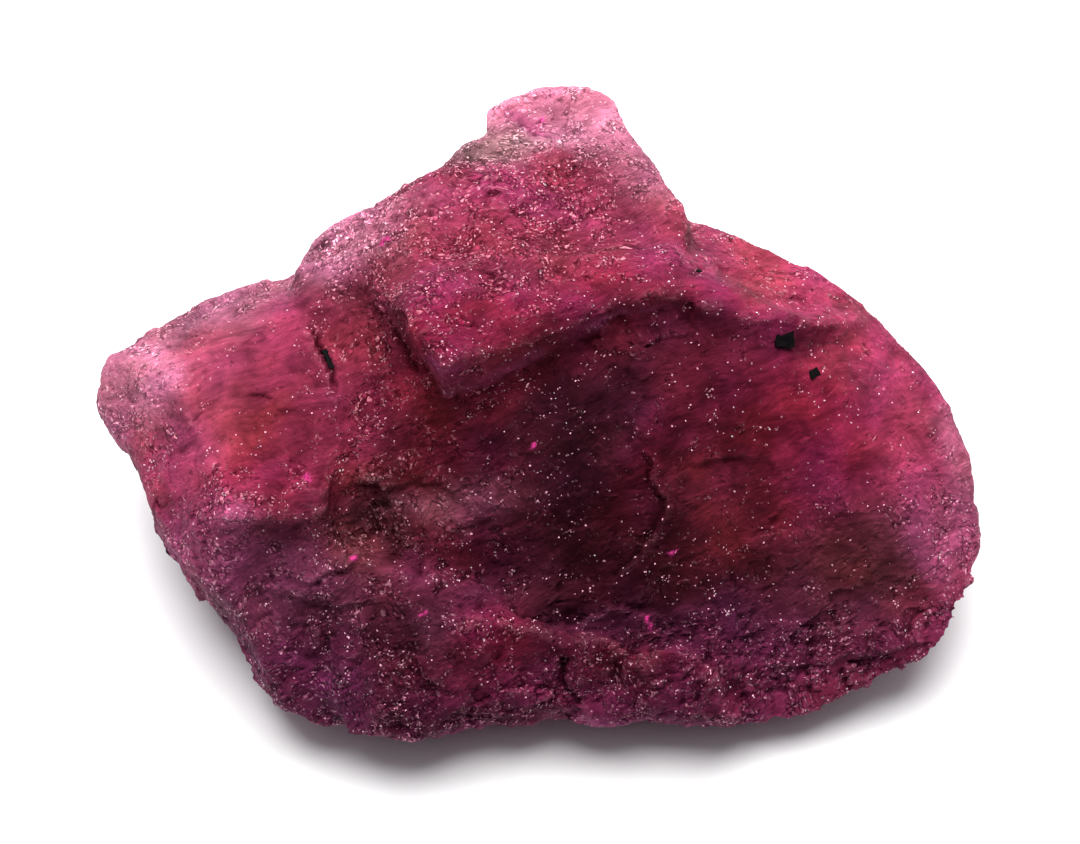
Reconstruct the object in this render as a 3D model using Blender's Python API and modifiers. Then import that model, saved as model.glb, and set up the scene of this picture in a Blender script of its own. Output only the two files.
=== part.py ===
"""A raw ruby: one rough, broken piece of corundum, lying on its flat parting plane.

The stone is built the way it was shaped. Slabs that split off along parting planes are
stacked and fused, the underside is knocked back to a rim, small pits and hollows are
struck out, and the whole is then chipped and worn. It stays one solid.

Plan directions: +X right, +Y back, +Z up. The floor is Z = 0.
"""

import math

import bmesh
import bpy
from mathutils import Matrix, Vector, noise

MM = 0.001

# Driving dimensions, in millimetres: the levels that a slab is cut between before its facets are cleaved
FOOT = -4.0
ROOF = 26.0

# How finely the fused stone is worked, and how far its surface is worn, in millimetres
GRIT = 0.42
WORN = 0.35
TRIANGLES = 9400

# Which of the many ways the chips can lie. Without it they would lie differently each time.
CHIP_SEED = 3

# The thin parting sheets that the stone is made of: the way they face, and their thickness in mm
SHEET_NORMAL = Vector((-0.27, 0.86, 0.43)).normalized()
SHEET_THICKNESS = 4.2

RUBY_RED = (0.28, 0.02, 0.06, 1.0)

# A facet is (point on it, dip from level in degrees, the way it faces in plan in degrees).
# 0 faces right, 90 the back, 180 left and 270 the front. A dip over 90 faces down.
FRONT = 270.0

# Each slab is (corners in plan, its top facets), in millimetres. Its sides are upright.
SLABS = {
    "front_slope": (
        [(-12.5, -17.2), (-8.0, -17.5), (-4.0, -16.9), (-1.0, -16.5), (5.5, -16.6), (12.2, -16.8),
         (17.4, -16.2), (21.7, -14.7), (23.6, -11.9), (24.0, -7.2), (23.8, -3.4), (22.6, -0.3),
         (20.8, 2.4), (17.2, 5.6), (12.3, 8.2), (8.4, 9.9), (-3.0, 8.0), (-5.2, -2.0),
         (-8.0, -5.8), (-12.0, -7.5)],
        [((0.0, 2.0, 14.9), 19.0, FRONT), ((0.0, -4.0, 12.8), 37.0, 277.0),
         ((0.0, -14.2, 6.0), 59.0, 268.0), ((5.0, 3.5, 15.0), 28.0, 80.0),
         ((16.0, 0.0, 12.6), 31.0, 12.0), ((16.0, -9.0, 9.4), 32.0, 318.0)],
    ),
    "upper_ledge": (
        [(-5.0, -2.6), (6.4, 1.9), (7.6, 4.2), (8.3, 8.6), (6.2, 12.2), (1.5, 13.6), (-2.8, 14.9),
         (-4.4, 14.2), (-4.9, 12.0), (-6.3, 10.9), (-9.3, 10.0), (-11.5, 9.4), (-13.2, 8.2), (-12.6, 6.3),
         (-9.0, 3.6)],
        [((0.0, 0.0, 16.9), 12.0, 84.0), ((-8.0, 6.5, 14.6), 37.0, 158.0),
         ((0.0, 11.4, 14.4), 26.0, 96.0)],
    ),
    "ledge_step": (
        [(-5.6, -1.4), (6.6, 2.4), (7.2, 5.6), (0.5, 5.4), (-7.6, 3.4)],
        [((0.0, 0.0, 17.3), 11.0, 88.0)],
    ),
    "pale_tip": (
        [(-2.6, 12.0), (-3.0, 16.7), (-0.4, 18.2), (0.8, 19.2), (2.4, 19.1), (4.0, 17.7), (6.5, 12.6),
         (7.5, 9.0), (0.0, 9.0)],
        [((2.0, 15.0, 12.6), 14.0, 80.0), ((5.5, 12.5, 12.6), 34.0, 30.0)],
    ),
    "right_shoulder": (
        [(6.0, 1.9), (8.5, 1.5), (13.0, 0.9), (16.2, 2.0), (17.9, 3.6), (17.2, 5.6), (12.4, 8.4),
         (8.6, 10.1), (6.5, 8.6)],
        [((6.0, 2.0, 17.0), 27.0, 58.0), ((12.0, 5.0, 13.2), 42.0, 62.0)],
    ),
    "left_lobe": (
        [(-24.2, 0.8), (-23.5, 2.4), (-21.1, 4.5), (-17.8, 6.5), (-13.6, 7.4), (-11.0, 5.6), (-11.4, 2.6),
         (-9.9, -2.0), (-10.9, -6.4), (-11.0, -8.6), (-17.5, -8.7), (-19.9, -7.7), (-22.2, -2.5)],
        [((-14.0, -3.0, 12.2), 5.0, 215.0), ((-15.8, 2.0, 12.2), 34.0, 122.0),
         ((-18.4, -3.0, 12.0), 52.0, 204.0), ((-11.6, 5.0, 11.4), 20.0, 60.0)],
    ),
    "left_flank": (
        [(-19.9, -7.7), (-11.0, -7.8), (-7.2, -10.2), (-4.6, -13.6), (-5.5, -17.4), (-12.8, -17.5),
         (-15.9, -12.5)],
        [((-14.0, -8.5, 10.5), 36.0, 264.0), ((-18.0, -9.5, 8.4), 60.0, 222.0),
         ((-9.0, -15.0, 6.2), 52.0, 262.0)],
    ),
    "sunken_seam": (
        [(-13.4, 6.8), (-7.0, 7.0), (-4.0, 0.0), (-2.6, -4.6), (-3.4, -6.2), (-5.6, -7.3), (-8.0, -6.8),
         (-10.4, -6.8), (-11.5, 0.0)],
        [((-9.0, 2.0, 13.2), 24.0, 202.0), ((-6.0, -3.0, 13.3), 27.0, 268.0)],
    ),
    "speckled_ledge": (
        [(-7.6, -5.8), (-3.0, -5.8), (-2.2, -7.4), (-4.2, -8.4), (-5.8, -7.0)],
        [((-5.0, -6.5, 11.3), 20.0, 285.0)],
    ),
    "rim_lump_left": (
        [(-10.0, -12.4), (-5.4, -13.0), (-3.6, -16.6), (-6.4, -17.6), (-9.0, -18.1), (-11.2, -16.0)],
        [((-7.0, -14.5, 6.9), 33.0, 277.0), ((-7.0, -17.0, 5.0), 55.0, 262.0)],
    ),
    "rim_lump_middle": (
        [(-5.8, -10.4), (-1.6, -11.4), (-1.0, -15.0), (-4.4, -16.0), (-6.6, -12.8)],
        [((-4.0, -12.5, 8.0), 36.0, 284.0)],
    ),
    "rim_block_left": (
        [(-3.7, -12.4), (1.2, -13.0), (1.4, -16.3), (-3.3, -16.6)],
        [((0.0, -14.5, 6.2), 42.0, 276.0)],
    ),
    "rim_block_middle": (
        [(2.0, -12.9), (4.3, -13.4), (4.5, -16.9), (1.9, -16.6)],
        [((3.0, -15.0, 6.0), 42.0, 264.0)],
    ),
    "rim_block_right": (
        [(5.1, -14.0), (8.2, -13.5), (10.8, -16.4), (5.3, -16.7)],
        [((7.0, -15.5, 5.4), 40.0, 280.0)],
    ),
}

# What is struck off the underside, so that the stone is widest at its rim
UNDERSIDE = {
    "front_undercut": ((0.0, -12.2, 0.0), 148.0, FRONT),
    "front_right_undercut": ((13.4, -11.1, 0.0), 151.0, 315.0),
    "right_undercut": ((14.5, 0.0, 0.0), 147.0, 5.0),
    "right_back_undercut": ((9.5, 4.5, 0.0), 136.0, 62.0),
    "back_undercut": ((0.0, 5.5, 0.0), 138.0, 96.0),
    "left_back_undercut": ((-11.5, 2.5, 0.0), 132.0, 128.0),
    "left_undercut": ((-16.0, -4.0, 0.0), 134.0, 196.0),
    "left_front_undercut": ((-13.1, -13.1, 0.0), 123.0, 232.0),
}

# Hollows struck into the top: (centre, size along its own axes, turn in plan, tilt), in mm and degrees
HOLLOWS = {
    "dark_hollow": ((-9.3, -8.3, 11.1), (3.1, 3.4, 3.0), 12.0, 32.0),
    "dark_hollow_foot": ((-8.1, -9.2, 10.5), (2.4, 2.6, 2.6), -24.0, 36.0),
    "shoulder_foot": ((6.4, 0.4, 16.4), (5.2, 2.6, 3.8), 14.0, 24.0),
}

# Shell-shaped flakes that sprang off the surface: (centre, reach, depth), in mm
FLAKES = {
    "front_flake": ((3.3, -7.8, 10.2), 4.8, 0.75),
    "front_low_flake": ((-2.2, -9.8, 9.4), 3.3, 0.5),
    "front_right_flake": ((12.4, -9.3, 8.3), 5.4, 0.55),
    "right_rim_flake": ((20.5, -9.5, 5.0), 3.6, 0.45),
    "shoulder_flake": ((12.5, 4.2, 14.0), 3.2, 0.35),
    "ledge_flake": ((1.4, 8.4, 15.6), 4.0, 0.4),
    "ledge_left_flake": ((-6.5, 5.2, 15.2), 3.0, 0.35),
    "lobe_flake": ((-16.0, -4.6, 12.0), 4.0, 0.35),
    "flank_flake": ((-15.2, -10.4, 8.2), 3.0, 0.55),
    "flank_low_flake": ((-11.4, -13.6, 6.6), 2.6, 0.5),
    "left_side_flake": ((-18.6, -3.0, 3.6), 3.6, 0.6),
    "back_flake": ((-3.0, 10.5, 5.2), 5.4, 1.0),
    "back_right_flake": ((11.0, 6.2, 5.6), 4.6, 0.8),
    "back_left_flake": ((-14.0, 4.6, 4.4), 4.2, 0.8),
    "front_foot_flake": ((4.0, -12.6, 1.0), 4.4, 0.7),
    "right_foot_flake": ((17.0, -1.0, 2.2), 4.4, 0.7),
}


def facet_normal(dip, faces):
    """The outward normal of a facet, from its dip and the way it faces."""
    dip, faces = math.radians(dip), math.radians(faces)
    return Vector((math.sin(dip) * math.cos(faces), math.sin(dip) * math.sin(faces), math.cos(dip)))


def cleave(bm, facet):
    """Splits off everything beyond a facet, and closes the stone there."""
    point, dip, faces = facet
    everything = bm.verts[:] + bm.edges[:] + bm.faces[:]
    cut = bmesh.ops.bisect_plane(
        bm, geom=everything, plane_co=Vector(point) * MM, plane_no=facet_normal(dip, faces), clear_outer=True
    )
    rim = [item for item in cut["geom_cut"] if isinstance(item, bmesh.types.BMEdge)]
    bmesh.ops.holes_fill(bm, edges=rim)


def cleaved_slab(name, corners, facets, collection):
    """An upright prism over its corners, with its top split down to its facets."""
    bm = bmesh.new()
    outline = [bm.verts.new((x * MM, y * MM, FOOT * MM)) for x, y in corners]
    foot = bm.faces.new(outline)
    raised = bmesh.ops.extrude_face_region(bm, geom=[foot])
    top = [item for item in raised["geom"] if isinstance(item, bmesh.types.BMVert)]
    bmesh.ops.translate(bm, verts=top, vec=(0.0, 0.0, (ROOF - FOOT) * MM))
    bmesh.ops.recalc_face_normals(bm, faces=bm.faces)
    for facet in facets:
        cleave(bm, facet)
    bmesh.ops.recalc_face_normals(bm, faces=bm.faces)
    return object_from(bm, name, collection)


def struck_block(name, centre, size, turn, tilt, collection):
    """A cube whose corner is struck into the stone to leave a hollow."""
    bm = bmesh.new()
    bmesh.ops.create_cube(bm, size=MM)
    bm.transform(Matrix.Diagonal((*size, 1.0)))
    bm.transform(Matrix.Rotation(math.radians(tilt), 4, "X"))
    bm.transform(Matrix.Rotation(math.radians(turn), 4, "Z"))
    bm.transform(Matrix.Translation(Vector(centre) * MM))
    return object_from(bm, name, collection)


def object_from(bm, name, collection):
    """A mesh object in a collection, from a finished bmesh."""
    mesh = bpy.data.meshes.new(name)
    bm.to_mesh(mesh)
    bm.free()
    made = bpy.data.objects.new(name, mesh)
    collection.objects.link(made)
    return made


def applied(source, name, collection):
    """A new object with the mesh that the source's modifiers make. The source is removed."""
    bpy.context.view_layer.update()
    evaluated = source.evaluated_get(bpy.context.evaluated_depsgraph_get())
    mesh = bpy.data.meshes.new_from_object(evaluated)
    made = bpy.data.objects.new(name, mesh)
    collection.objects.link(made)
    bpy.data.objects.remove(source)
    return made


def fused(slabs, hollows, collection):
    """The slabs joined in one body, with the hollows struck out of it."""
    core, *others = slabs
    for other in others:
        union = core.modifiers.new("fuse " + other.name, "BOOLEAN")
        union.operation = "UNION"
        union.solver = "EXACT"
        union.object = other
    for hollow in hollows:
        strike = core.modifiers.new("strike " + hollow.name, "BOOLEAN")
        strike.operation = "DIFFERENCE"
        strike.solver = "EXACT"
        strike.object = hollow
    stone = applied(core, "fused_slabs", collection)
    for helper in others + hollows:
        bpy.data.objects.remove(helper)
    return stone


def undercut(stone):
    """Knocks the underside back to the rim, all round the foot."""
    bm = bmesh.new()
    bm.from_mesh(stone.data)
    for facet in UNDERSIDE.values():
        cleave(bm, facet)
    bmesh.ops.recalc_face_normals(bm, faces=bm.faces)
    bm.to_mesh(stone.data)
    bm.free()


def chipped(point, grain):
    """How far a chipped surface stands out: each grain is a small plane with a lean of its own."""
    place = point / grain
    nearest = noise.voronoi(place)[1][0]
    lean = noise.noise_vector(nearest * 9.7)
    return lean.dot(place - nearest) + 0.5 * noise.noise(nearest * 5.1)


def lamella(point):
    """A saw-edged step for each thin parting sheet that ends at the surface."""
    across = point.dot(SHEET_NORMAL) / SHEET_THICKNESS + 2.2 * noise.noise(point / 9.0)
    return across - math.floor(across) - 0.5


def flaked(place):
    """How deep the flakes were struck here, in millimetres: a dish with a sharp rim for each."""
    depth = 0.0
    for centre, reach, deepest in FLAKES.values():
        out = (place - Vector(centre)).length / reach
        depth = max(depth, deepest * (1.0 - out * out))
    return depth


def wear(stone):
    """Chips and wears the skin: flakes, broad swells, broken sheet edges and grains knocked off."""
    places = [vertex.co / MM for vertex in stone.data.vertices]
    normals = [vertex.normal.copy() for vertex in stone.data.vertices]
    for vertex, place, normal in zip(stone.data.vertices, places, normals):
        swell = noise.fractal(place / 8.0, 1.0, 2.0, 3)
        warped = place + 0.8 * noise.noise_vector(place / 2.5)
        depth = swell + 0.9 * chipped(warped, 5.0) + 0.5 * chipped(warped, 2.4) + 0.22 * lamella(warped)
        vertex.co = (place + normal * (WORN * depth - flaked(warped))) * MM


def cut_foot(bm):
    """The level parting plane that the stone lies on."""
    cleave(bm, ((0.0, 0.0, 0.0), 180.0, FRONT))


def settle(stone):
    """Puts the middle of the stone's box over the origin."""
    corners = [Vector(corner) for corner in stone.bound_box]
    middle = sum(corners, Vector()) / len(corners)
    stone.data.transform(Matrix.Translation((-middle.x, -middle.y, 0.0)))


def ruby_material():
    """Rough ruby: deep red corundum with a waxy, broken surface."""
    ruby = bpy.data.materials.new("rough_ruby")
    ruby.use_nodes = True
    shader = ruby.node_tree.nodes["Principled BSDF"]
    shader.inputs["Base Color"].default_value = RUBY_RED
    shader.inputs["Roughness"].default_value = 0.45
    shader.inputs["Metallic"].default_value = 0.0
    ruby.diffuse_color = RUBY_RED
    return ruby


def main():
    noise.seed_set(CHIP_SEED)
    for leftover in list(bpy.data.objects):
        bpy.data.objects.remove(leftover)
    workshop = bpy.data.collections.new("slabs_and_cutters")
    raw_ruby = bpy.data.collections.new("raw_ruby")
    bpy.context.scene.collection.children.link(workshop)
    bpy.context.scene.collection.children.link(raw_ruby)

    slabs = [cleaved_slab(name, corners, facets, workshop) for name, (corners, facets) in SLABS.items()]
    hollows = [struck_block(name, *shape, workshop) for name, shape in HOLLOWS.items()]
    rough = fused(slabs, hollows, workshop)
    undercut(rough)

    grit = rough.modifiers.new("grit", "REMESH")
    grit.mode = "VOXEL"
    grit.voxel_size = GRIT * MM
    soften = rough.modifiers.new("soften", "SMOOTH")
    soften.factor = 0.5
    soften.iterations = 2
    worn = applied(rough, "worn", workshop)
    wear(worn)

    spare = worn.modifiers.new("spare", "DECIMATE")
    spare.ratio = TRIANGLES / (2.0 * len(worn.data.polygons))
    stone = applied(worn, "ruby_crystal", raw_ruby)
    bm = bmesh.new()
    bm.from_mesh(stone.data)
    cut_foot(bm)
    bm.to_mesh(stone.data)
    bm.free()
    settle(stone)
    stone.data.materials.clear()
    stone.data.materials.append(ruby_material())


main()
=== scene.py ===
"""A raw ruby lying on a pale surface, for Blender 4.5.

The solid in the frame gives the stone its form. Its skin is made again here at a fine grain:
ledges, cracks, knobs and chips are broken into it, it is tinted by place, it is given a painted
glow where it is thin enough for light to come through and painted shade in its creases and
cracks, and dark mineral grains are set into it. Lengths are in millimetres until they reach the mesh.
"""

import math

import bmesh
import bpy
import numpy as np
from mathutils import Matrix, Vector, noise
from mathutils.bvhtree import BVHTree


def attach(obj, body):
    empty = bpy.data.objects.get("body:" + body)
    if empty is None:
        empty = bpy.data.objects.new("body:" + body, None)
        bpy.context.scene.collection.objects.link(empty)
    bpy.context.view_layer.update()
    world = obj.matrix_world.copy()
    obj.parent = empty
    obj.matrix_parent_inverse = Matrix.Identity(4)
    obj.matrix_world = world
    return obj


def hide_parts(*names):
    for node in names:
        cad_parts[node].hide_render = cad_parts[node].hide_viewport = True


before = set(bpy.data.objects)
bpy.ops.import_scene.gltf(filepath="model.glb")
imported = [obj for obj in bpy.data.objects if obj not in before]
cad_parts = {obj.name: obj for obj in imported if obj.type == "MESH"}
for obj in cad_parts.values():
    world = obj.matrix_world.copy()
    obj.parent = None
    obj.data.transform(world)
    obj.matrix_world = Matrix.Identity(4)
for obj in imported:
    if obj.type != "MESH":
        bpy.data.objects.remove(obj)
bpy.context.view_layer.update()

MM = 0.001

# Which of the many ways the chips can lie. Without it they would lie differently each time.
CHIP_SEED = 3

# The skin has a point about this often, in mm. It keeps the stone under 200,000 triangles.
SKIN_GRAIN = 0.215

# How many times the small steps that the first cut leaves in the skin are eased.
EASINGS = 4

# The camera looks down on the stone from the front, with a long lens. Its distance and target are
# in mm.
LENS_MM = 135.0
SENSOR_MM = 36.0
CAMERA_DISTANCE = 220.0
CAMERA_ELEVATION = 62.0
CAMERA_TARGET = (0.2, -1.1, 8.0)

# One broad, soft light comes from behind and a little to the left.
SUN_AZIMUTH = 96.0
SUN_ELEVATION = 66.0
SUN_ANGLE = 56.0
SUN_STRENGTH = 5.3

# The room is bright behind and overhead, and dim in front.
ROOM_BACK = 0.9
ROOM_FRONT = 0.02
ROOM_TILT = 38.0

# The stone parts in thin sheets that lie square to this direction.
SHEET_NORMAL = (-0.27, 0.86, 0.43)

# Broken stone ends in chips: (size, height on waxy skin, more on grainy skin, more on crust), in mm.
CHIPS = [(2.9, 0.06, 0.16, 0.22), (1.4, 0.06, 0.17, 0.14), (0.7, 0.03, 0.14, 0.04)]

# The crust of broken grains begins below the first height and is full at the second, in mm.
CRUST_TOP = 7.4
CRUST_FULL = 4.6

# The foot is flat. The skin is left alone below the first height, and worked fully above the second.
FOOT_LEFT_ALONE = 0.1
FOOT_WORKED = 0.7

# Light comes through the stone about this far, in mm.
LIGHT_REACH = 3.0

# A crease this deep between neighbouring points counts as fully sharp, in mm.
SHARP_CREASE = 0.03

# Lines that look down at the skin start this high, in mm.
OVERHEAD = 30.0

# Sizes of what is drawn in the stone, in mm. Its silk and its facets are finer in real ruby. They are
# drawn as coarse as they need to be to show.
COARSE_CRYSTAL = 0.45
FINE_CRYSTAL = 0.12
FACET = 0.08
SILK_FIBRE = (0.75, 0.075, 0.2)
PARTING_SHEET = (2.6, 1.6, 0.3)

# Ledges that broke along the parting sheets: (height, reach, points in plan), in mm.
# Walking along the points, the ground on the left is raised, and eases down over the reach.
LEDGES = {
    "shell_arch": (0.22, 2.2, [(7.4, -6.6), (7.6, -5.9), (8.8, -5.2), (10.5, -4.9), (12.4, -5.2),
                               (13.8, -6.0)]),
    "broken_bank": (0.34, 2.6, [(5.0, -4.1), (5.7, -4.8), (6.0, -5.8), (6.9, -6.9), (6.8, -7.6),
                                (5.0, -9.4), (4.4, -10.2), (3.7, -11.1)]),
    "hollow_lip": (0.36, 1.9, [(7.0, -11.8), (5.5, -11.8), (3.9, -11.7), (2.3, -12.4), (0.6, -12.7),
                               (-1.3, -12.4), (-2.4, -11.4)]),
    "seam_ridge": (0.20, 1.3, [(-0.2, -6.0), (-0.9, -5.4), (-0.6, -4.4), (-1.1, -3.1)]),
    "rim_band": (0.26, 1.6, [(11.5, -14.2), (15.4, -13.5), (19.2, -13.1), (21.4, -12.5)]),
    "flank_ledge_high": (0.30, 1.6, [(-13.7, -10.5), (-11.8, -11.3), (-10.1, -10.8), (-7.9, -9.4)]),
    "flank_ledge_low": (0.30, 1.6, [(-15.2, -11.0), (-13.6, -11.8), (-12.2, -11.9), (-10.4, -12.5),
                                    (-7.2, -11.9)]),
    "speckle_ledge": (0.28, 1.3, [(-9.8, -7.7), (-7.3, -6.9), (-5.1, -6.8), (-3.5, -7.6), (-2.8, -8.1)]),
    "lobe_step": (0.26, 2.0, [(-11.1, -7.6), (-12.4, -7.1), (-12.9, -5.8), (-13.6, -4.7)]),
    "lobe_edge": (0.22, 1.6, [(-10.5, -3.8), (-10.5, -1.7), (-10.8, -0.2), (-11.5, 1.2),
                              (-12.9, 2.9)]),
    "ledge_left_edge": (0.22, 1.0, [(-7.1, 1.1), (-6.5, -0.1), (-5.9, -1.3)]),
    "crown_band_high": (0.20, 1.3, [(-4.0, 6.9), (-1.6, 8.1), (1.5, 9.6)]),
    "crown_band_low": (0.18, 1.6, [(0.6, 6.4), (-0.9, 5.9), (-5.9, 4.6)]),
    "tip_foot": (0.34, 1.6, [(2.9, 11.5), (1.4, 12.6), (0.0, 14.1), (-0.9, 15.0), (-2.5, 14.9)]),
}

# Cracks: (depth, half width, points in plan), in mm
CRACKS = {
    "front_crack_left": (0.42, 0.28, [(1.4, -14.0), (1.6, -15.8)]),
    "front_crack_right": (0.42, 0.26, [(4.2, -14.6), (4.4, -16.0)]),
    "lobe_crack": (0.12, 0.16, [(-15.5, -1.9), (-15.0, -1.7), (-14.4, -1.6), (-13.8, -2.1)]),
    "seam_crack": (0.40, 0.30, [(-12.2, 2.3), (-11.5, 1.2), (-10.9, -0.2), (-10.6, -1.7)]),
    "ledge_foot_crack": (0.30, 0.26, [(-7.5, 1.2), (-6.9, -0.1), (-6.3, -1.5)]),
}

# Knobs stand up and pits go down: (centre in plan, radius, height), in mm
KNOBS = {
    "front_knob": ((-8.0, -15.9), 2.0, 0.50),
    "front_nub": ((-8.3, -17.4), 1.1, 0.30),
    "rim_knob_left": ((-5.6, -15.0), 1.3, 0.32),
    "rim_knob_middle": ((-3.4, -13.7), 1.7, 0.42),
    "rim_knob_right": ((2.9, -14.8), 1.5, 0.34),
    "rim_knob_far_right": ((6.0, -14.9), 1.4, 0.30),
    "flank_knob": ((-11.8, -13.4), 0.9, 0.30),
    "hollow_pit": ((-8.9, -8.0), 1.5, -0.35),
    "shoulder_pit": ((8.7, 4.2), 0.6, -0.30),
}

# The stone's own colours, from the palest to the darkest.
FROSTY_PINK = "#bc7088"
ROSE = "#b04860"
ORCHID = "#944464"
DUSTY_ROSE = "#8c5060"
ASHY_PINK = "#806060"
HOT_PINK = "#a02068"
RASPBERRY = "#842c40"
CRIMSON = "#70182c"
GARNET = "#5c1820"
PLUM = "#502434"
PURPLE = "#44142c"
RUSSET = "#48201c"
WINE = "#4a0e1a"
DEEP_WINE = "#380a12"
NEAR_BLACK = "#140404"

# Zones of the skin: (centre in plan, half length and half width, turn in degrees, colour, weight,
# grain). Colours melt into each other, because ruby's colour is spread through the stone unevenly.
# Some zones are painted light and shade as well. The pale tips and the right rim's edge are partly
# the stone's colour and partly painted glow of light coming through thin stone. The lobe and brow
# glows and the riser's and shoulder's edges are painted glow. The zones below the ledge and in the
# hollow are painted shade.
# Grain is 0 where the break is smooth and waxy, and 1 where it is packed with broken crystals.
ZONES = {
    # Partly painted glow, of light coming through the thin tip.
    "left_tip": ((-22.6, 0.6), (2.0, 2.6), 0.0, FROSTY_PINK, 1.3, 0.6),
    "lobe_back": ((-17.5, 4.9), (5.0, 1.5), 20.0, DUSTY_ROSE, 1.2, 0.7),
    "lobe_heart": ((-14.6, -3.4), (3.2, 4.0), 0.0, GARNET, 1.2, 0.05),
    # Painted glow, of light coming through the thin lobe.
    "lobe_glow": ((-17.2, -1.6), (1.8, 2.4), 0.0, ROSE, 1.0, 0.05),
    "lobe_foot": ((-14.4, -7.0), (3.4, 1.2), 0.0, CRIMSON, 1.0, 0.5),
    "lobe_right": ((-12.4, 1.2), (1.8, 3.0), 20.0, RASPBERRY, 1.0, 0.2),
    "left_band": ((-20.8, -3.7), (1.4, 3.6), 25.0, RASPBERRY, 1.0, 0.7),
    "left_purple": ((-17.8, -9.0), (2.4, 2.2), 0.0, ORCHID, 1.0, 0.8),
    "flank": ((-14.0, -11.9), (3.2, 2.6), -10.0, PLUM, 1.0, 0.6),
    "seam": ((-8.4, -1.6), (2.6, 4.4), 15.0, GARNET, 1.3, 0.7),
    "ledge_left_end": ((-10.2, 7.6), (2.8, 1.6), 10.0, FROSTY_PINK, 1.2, 1.0),
    "ledge_crown": ((-2.0, 9.2), (5.6, 2.2), 18.0, RASPBERRY, 1.3, 0.8),
    "ledge_red_band": ((-1.6, 6.4), (5.0, 1.0), 18.0, RASPBERRY, 1.1, 0.9),
    "ledge_middle": ((-0.6, 3.8), (5.4, 1.8), 18.0, RASPBERRY, 1.1, 0.8),
    "ledge_brow": ((-1.2, 0.8), (6.0, 1.3), 22.0, CRIMSON, 1.4, 0.6),
    # Partly painted glow, of light coming through the thin tip.
    "pale_tip": ((1.0, 16.2), (3.0, 2.4), 0.0, FROSTY_PINK, 1.6, 0.6),
    "brow_corner": ((-4.6, 0.2), (2.4, 1.5), 22.0, CRIMSON, 1.3, 0.7),
    # Painted glow along the brow's thin edge.
    "brow_glow": ((1.8, 1.0), (4.2, 0.7), 24.0, WINE, 1.3, 0.3),
    "red_chunk": ((-2.8, -14.6), (1.5, 1.5), 10.0, CRIMSON, 1.2, 0.6),
    "purple_chunk": ((-5.4, -13.6), (1.3, 1.0), 0.0, PLUM, 1.2, 0.6),
    "mauve_bank": ((6.6, -5.2), (2.6, 0.8), 35.0, WINE, 0.9, 0.5),
    "lobe_fringe": ((-16.6, -6.8), (1.0, 2.6), -30.0, CRIMSON, 1.1, 1.0),
    # Partly painted glow, of light coming through the thin rim.
    "right_rim_edge": ((23.2, -4.6), (0.8, 3.6), 6.0, DUSTY_ROSE, 1.1, 0.5),
    "tip_pink": ((-0.2, 14.9), (1.0, 0.7), -30.0, HOT_PINK, 1.2, 0.3),
    "tip_right": ((5.2, 12.0), (1.6, 2.6), 30.0, DUSTY_ROSE, 1.2, 0.6),
    "shoulder": ((11.6, 5.2), (5.0, 2.2), -18.0, RASPBERRY, 1.4, 0.5),
    "right_rim_high": ((19.6, -0.6), (2.2, 4.6), 35.0, RASPBERRY, 1.4, 0.25),
    "right_rim_low": ((22.8, -8.0), (1.3, 4.8), 0.0, ORCHID, 1.3, 0.8),
    # Painted shade below the ledge's riser.
    "shade_below_ledge": ((2.4, -2.2), (5.6, 1.8), 20.0, NEAR_BLACK, 1.0, 0.3),
    "front_left_red": ((-4.4, -6.4), (3.0, 2.6), 0.0, WINE, 1.0, 0.5),
    "front_heart": ((3.0, -8.8), (4.8, 3.4), 0.0, NEAR_BLACK, 1.4, 0.35),
    "front_right_red": ((14.8, -3.2), (3.4, 2.6), -15.0, CRIMSON, 1.2, 0.15),
    "front_upper_right": ((9.4, -1.8), (3.4, 2.4), -10.0, WINE, 1.0, 0.2),
    "front_middle_right": ((10.4, -6.4), (3.6, 2.4), 0.0, GARNET, 1.0, 0.25),
    "front_low": ((9.6, -10.8), (5.2, 2.6), 0.0, NEAR_BLACK, 1.0, 0.4),
    "right_low": ((17.8, -10.4), (3.4, 2.6), 20.0, RUSSET, 1.0, 0.4),
    # Painted glow along the riser.
    "ledge_riser_glow": ((-0.6, -1.9), (5.6, 0.7), 27.0, GARNET, 1.0, 0.4),
    # Painted glow along the shoulder's lower edge.
    "shoulder_edge_glow": ((12.4, 2.2), (4.6, 0.8), -6.0, CRIMSON, 1.2, 0.2),
    "tip_crust": ((-1.2, 13.4), (2.6, 1.2), 15.0, ASHY_PINK, 1.3, 1.0),
    "front_rim": ((2.4, -15.6), (9.0, 1.4), 3.0, WINE, 1.4, 0.8),
    "front_rim_left": ((-6.4, -14.6), (2.6, 2.0), 0.0, NEAR_BLACK, 1.2, 0.7),
    "flank_foot": ((-12.8, -14.8), (3.0, 1.8), -10.0, PURPLE, 1.2, 0.7),
    "front_rim_right": ((14.5, -13.6), (6.0, 1.1), 8.0, DEEP_WINE, 1.3, 0.8),
    "speckle_bank": ((-5.6, -7.3), (3.0, 0.6), 4.0, DUSTY_ROSE, 0.8, 1.0),
    # Painted shade in the hollow.
    "dark_hollow": ((-8.9, -8.2), (1.9, 1.7), 0.0, RUSSET, 1.2, 0.8),
}

# How fast a zone fades with the square of the distance from its centre, where 1 is at its edge.
ZONE_FADE = 0.9

# The crust along the low rim and underneath, and how much of its colour covers the zones there.
CRUST_HEX = "#582444"
CRUST_COVER = 0.4
CRUST_GRAIN = 0.8

# The sides that no zone reaches.
HIDDEN_HEX = "#74304a"
HIDDEN_WEIGHT = 0.10
HIDDEN_GRAIN = 0.6

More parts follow.
